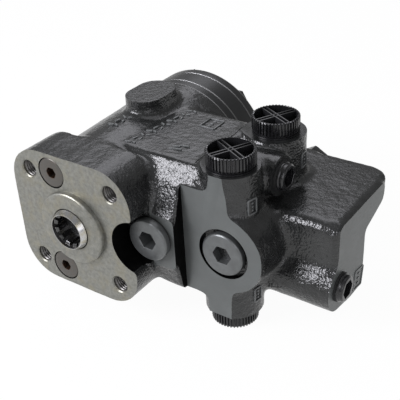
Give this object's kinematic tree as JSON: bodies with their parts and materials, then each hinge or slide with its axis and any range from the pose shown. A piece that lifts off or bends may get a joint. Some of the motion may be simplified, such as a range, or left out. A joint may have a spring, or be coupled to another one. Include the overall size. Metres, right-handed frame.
{
  "type": "orbital steering unit",
  "caption": "Hydrostatic steering unit: square flange with splined socket, cast body with priority valve block, capped ports and a round gear set at the rear.",
  "frame": {"origin": "centre of the mounting flange's face, on the steering axis", "axes": "-Y out of the flange towards the steering column, +X towards the valve block, +Z towards the two upper ports"},
  "size_m": [0.188, 0.1428, 0.1075],
  "materials": {
    "cast_black": "semi-gloss black paint over a rough sand casting",
    "disc_black": "semi-gloss black paint over turned steel",
    "plug_grey": "phosphated steel, painted thinly",
    "plug_brown": "bare steel with a brown tarnish",
    "plug_black": "gloss black paint",
    "screw_black": "black paint",
    "cap_plastic": "glossy black moulded plastic",
    "ground_steel": "ground and oiled",
    "bearing_steel": "polished",
    "spring_steel": "drawn wire and leaf",
    "rubber_black": "matt moulded rubber"
  },
  "bodies": {
    "root": {"housing": "cast_black", "dust_seal": "rubber_black", "shaft_seal": "rubber_black", "bearing_race_front": "bearing_steel", "distributor_plate": "disc_black", "gear_ring": "disc_black", "end_cover": "disc_black", "seal_ring_housing": "rubber_black", "seal_ring_plate": "rubber_black", "seal_ring_cover": "rubber_black", "cover_screws": "screw_black", "pin_screw": "screw_black", "cover_washers": "screw_black", "check_bush": "ground_steel", "suction_pin_left": "ground_steel", "suction_pin_right": "ground_steel", "shock_plug_upper": "plug_brown", "shock_plug_lower": "plug_brown", "shock_seat_upper": "ground_steel", "shock_seat_lower": "ground_steel", "shock_spring_upper": "spring_steel", "shock_spring_lower": "spring_steel", "relief_plug": "plug_grey", "relief_seal": "rubber_black", "relief_adjuster": "ground_steel", "relief_seat": "ground_steel", "relief_spring": "spring_steel", "priority_plug": "plug_grey", "priority_seal": "rubber_black", "priority_spring_plug": "plug_black", "priority_rear_seal": "rubber_black", "priority_spring": "spring_steel", "gauge_plug": "plug_black", "gauge_seal": "rubber_black", "end_plug": "plug_black", "end_seal": "rubber_black"},
    "sleeve": {"sleeve": "ground_steel", "cross_pin": "ground_steel", "centring_springs": "spring_steel", "bearing_race_rear": "bearing_steel"},
    "spool": {"spool": "ground_steel"},
    "needle_cage": {"bearing_cage": "bearing_steel", "bearing_needles": "bearing_steel"},
    "orbit": {"spacer": "ground_steel"},
    "rotor": {"rotor": "ground_steel"},
    "cardan": {"cardan_shaft": "ground_steel"},
    "check_ball": {"check_ball": "bearing_steel"},
    "suction_ball_left": {"suction_ball_left": "bearing_steel"},
    "suction_ball_right": {"suction_ball_right": "bearing_steel"},
    "shock_ball_upper": {"shock_ball_upper": "bearing_steel"},
    "shock_ball_lower": {"shock_ball_lower": "bearing_steel"},
    "relief_poppet": {"relief_poppet": "ground_steel"},
    "priority_spool": {"priority_spool": "ground_steel"},
    "cap_left": {"port_cap_left": "cap_plastic"},
    "cap_right": {"port_cap_right": "cap_plastic"},
    "cap_pump": {"port_cap_pump": "cap_plastic"},
    "cap_tank": {"port_cap_tank": "cap_plastic"},
    "cap_auxiliary": {"port_cap_auxiliary": "cap_plastic"}
  },
  "joints": [
    {"name": "sleeve_spin", "type": "hinge", "parent": "root", "child": "sleeve", "pos_m": [0, 0, 0], "axis": [0, 1, 0], "continuous": true},
    {"name": "spool_deflection", "type": "hinge", "parent": "sleeve", "child": "spool", "pos_m": [0, 0, 0], "axis": [0, 1, 0], "range_deg": [-9, 9], "stiffness_Nm_per_rad": 12},
    {"name": "rotor_orbit", "type": "hinge", "parent": "root", "child": "orbit", "pos_m": [0, 0, 0], "axis": [0, 1, 0], "continuous": true},
    {"name": "rotor_spin", "type": "hinge", "parent": "orbit", "child": "rotor", "pos_m": [-0.0028, 0.1194, 0], "axis": [0, 1, 0], "continuous": true},
    {"name": "cardan_spin", "type": "hinge", "parent": "orbit", "child": "cardan", "pos_m": [0, 0.04, 0], "axis": [-0.0352, 0.9994, 0], "continuous": true},
    {"name": "needle_roll", "type": "hinge", "parent": "root", "child": "needle_cage", "pos_m": [0, 0, 0], "axis": [0, 1, 0], "continuous": true},
    {"name": "check_ball_lift", "type": "slide", "parent": "root", "child": "check_ball", "axis": [0, 1, 0], "range_m": [0, 0.003]},
    {"name": "suction_ball_left_lift", "type": "slide", "parent": "root", "child": "suction_ball_left", "axis": [0, 1, 0], "range_m": [0, 0.002]},
    {"name": "suction_ball_right_lift", "type": "slide", "parent": "root", "child": "suction_ball_right", "axis": [0, 1, 0], "range_m": [0, 0.002]},
    {"name": "shock_ball_upper_lift", "type": "slide", "parent": "root", "child": "shock_ball_upper", "axis": [0, -1, 0], "range_m": [0, 0.0012], "stiffness_N_per_m": 400, "deforming": ["shock_spring_upper"]},
    {"name": "shock_ball_lower_lift", "type": "slide", "parent": "root", "child": "shock_ball_lower", "axis": [0, -1, 0], "range_m": [0, 0.0012], "stiffness_N_per_m": 400, "deforming": ["shock_spring_lower"]},
    {"name": "relief_poppet_lift", "type": "slide", "parent": "root", "child": "relief_poppet", "axis": [0, -1, 0], "range_m": [0, 0.002], "stiffness_N_per_m": 900, "deforming": ["relief_spring"]},
    {"name": "priority_spool_slide", "type": "slide", "parent": "root", "child": "priority_spool", "axis": [0, 1, 0], "range_m": [0, 0.004], "stiffness_N_per_m": 1500, "deforming": ["priority_spring"]},
    {"name": "cap_left_pull", "type": "slide", "parent": "root", "child": "cap_left", "axis": [0, 0, 1], "range_m": [0, 0.012]},
    {"name": "cap_right_pull", "type": "slide", "parent": "root", "child": "cap_right", "axis": [0, 0, 1], "range_m": [0, 0.012]},
    {"name": "cap_pump_pull", "type": "slide", "parent": "root", "child": "cap_pump", "axis": [0, 0, -1], "range_m": [0, 0.012]},
    {"name": "cap_tank_pull", "type": "slide", "parent": "root", "child": "cap_tank", "axis": [0, 0, -1], "range_m": [0, 0.012]},
    {"name": "cap_auxiliary_pull", "type": "slide", "parent": "root", "child": "cap_auxiliary", "axis": [0, 1, 0], "range_m": [0, 0.012]}
  ],
  "couplings": [
    {"joint": "rotor_orbit", "follows": "sleeve_spin", "ratio": -6},
    {"joint": "rotor_spin", "follows": "sleeve_spin", "ratio": 7},
    {"joint": "cardan_spin", "follows": "sleeve_spin", "ratio": 7},
    {"joint": "needle_roll", "follows": "sleeve_spin", "ratio": 0.5}
  ]
}
